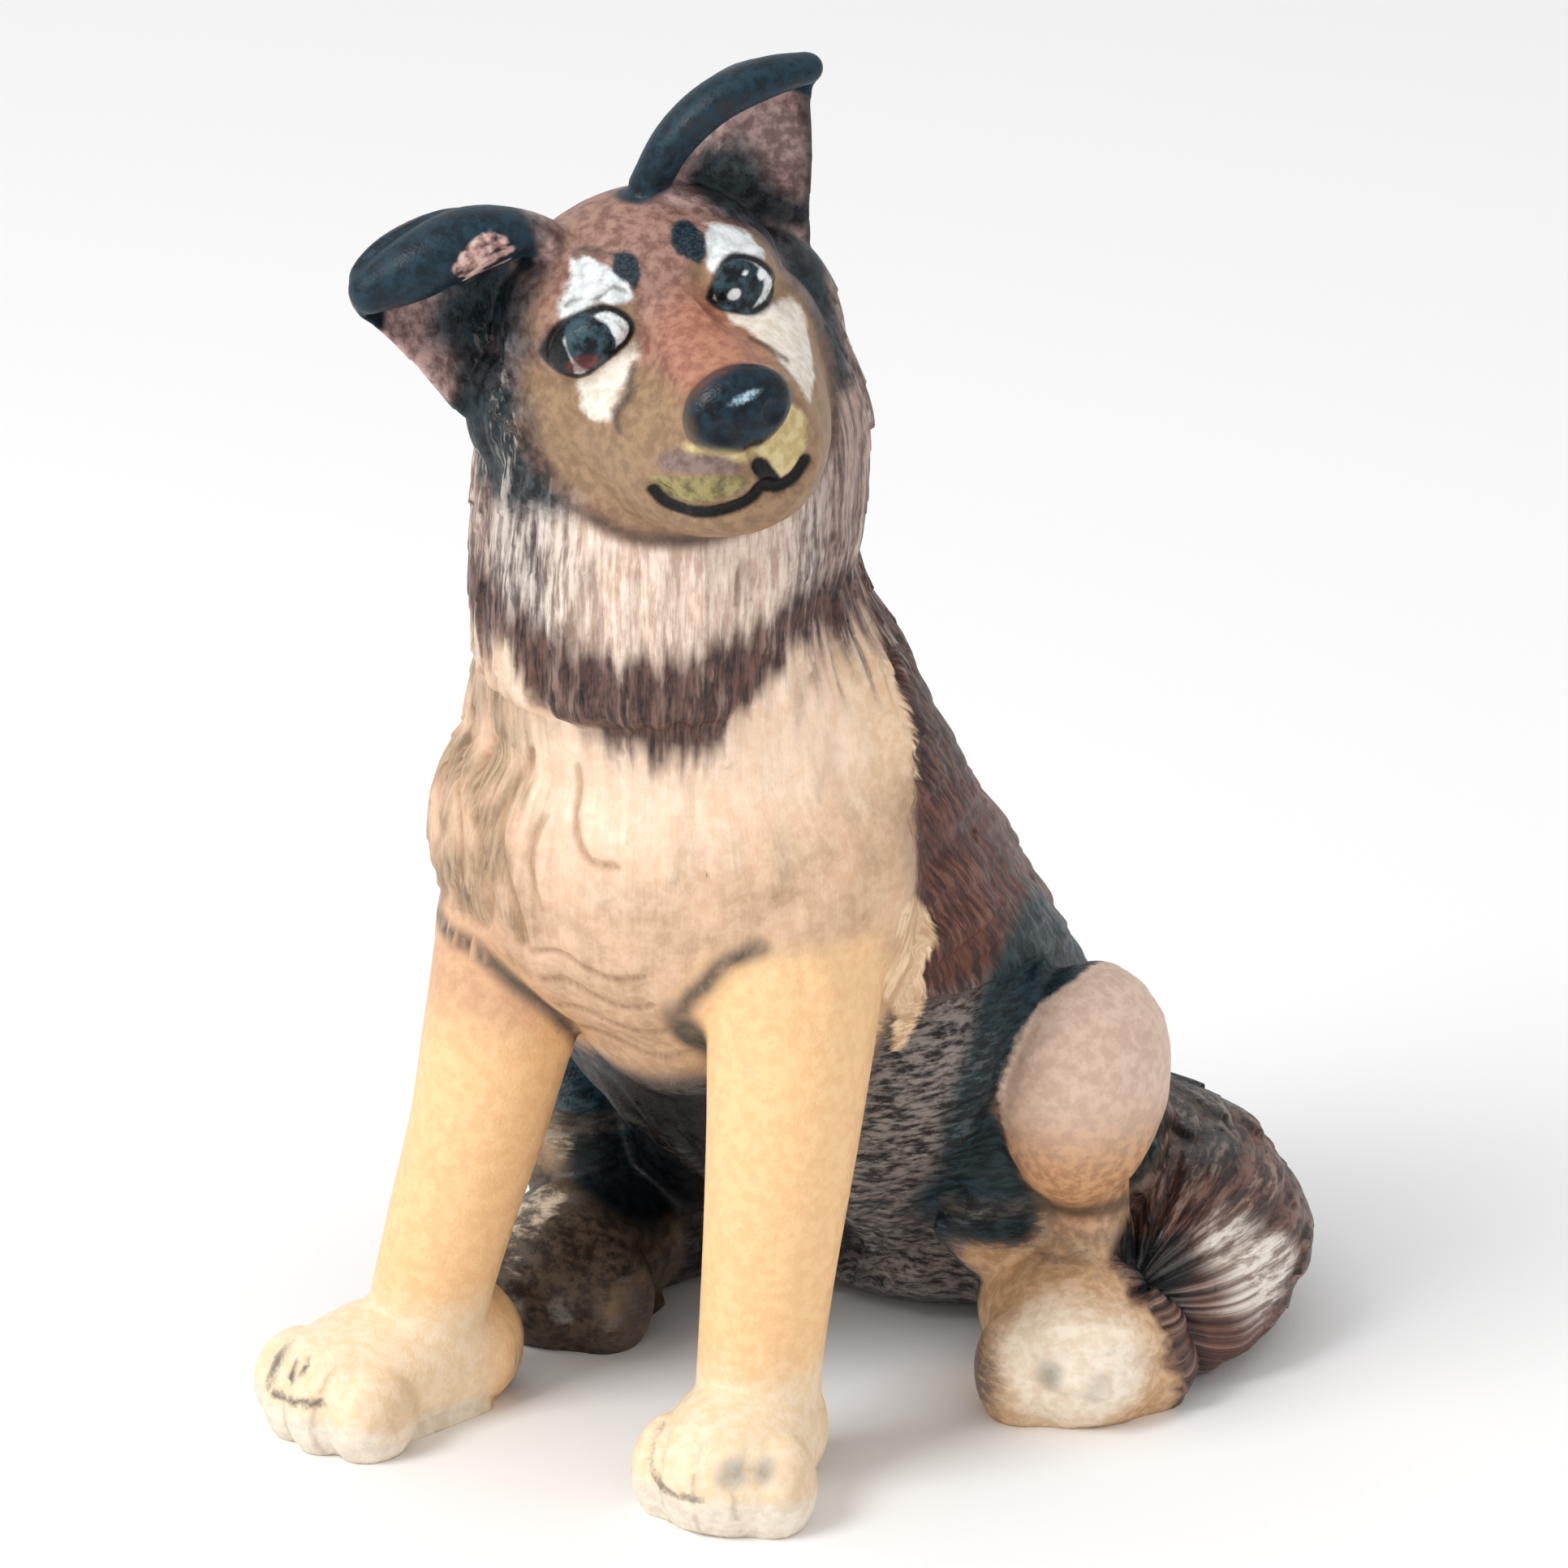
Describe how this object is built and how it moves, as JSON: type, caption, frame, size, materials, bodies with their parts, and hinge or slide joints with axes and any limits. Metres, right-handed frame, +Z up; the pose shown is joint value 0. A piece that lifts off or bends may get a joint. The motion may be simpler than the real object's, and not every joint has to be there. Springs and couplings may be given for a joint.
{
  "type": "dog figurine",
  "caption": "Seated shepherd dog figurine, carved from one piece of wood and painted, with its head turned and tilted and one ear bent; it stands on its paws and haunches.",
  "frame": {"origin": "on the ground, under the middle of the figurine's outline from above", "axes": "+Z up, -Y the way the dog's chest faces, +X to the dog's left"},
  "size_m": [0.1464, 0.1702, 0.24],
  "materials": {
    "painted_wood": "hand-painted in brown, black, tan and cream, satin"
  },
  "bodies": {
    "root": {"dog": "painted_wood"}
  },
  "joints": []
}
